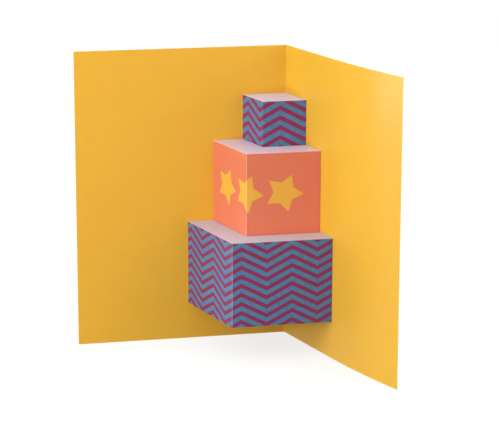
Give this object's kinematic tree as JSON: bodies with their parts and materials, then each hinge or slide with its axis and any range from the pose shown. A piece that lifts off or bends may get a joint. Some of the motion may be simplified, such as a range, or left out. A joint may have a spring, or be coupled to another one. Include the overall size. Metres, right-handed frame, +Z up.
{
  "type": "pop-up greeting card",
  "caption": "Folded card standing open on its lower edge, with a stack of patterned paper boxes that pop up in the corner between its leaves.",
  "frame": {"origin": "on the table, under the middle of the standing card's outline", "axes": "+Z up along the spine, +X to the right, -Y out of the open side between the leaves, spine at +Y"},
  "size_m": [0.204, 0.078, 0.178],
  "materials": {
    "yellow_card": "smooth printed card, matt with a slight sheen",
    "chevron_print": "zigzag bands of blue and magenta on the walls, pale pink top, smooth matt",
    "star_print": "orange walls with yellow stars, pale pink top, smooth matt"
  },
  "bodies": {
    "root": {"card": "yellow_card", "lower_box": "chevron_print", "middle_box": "star_print", "upper_box": "chevron_print"}
  },
  "joints": []
}
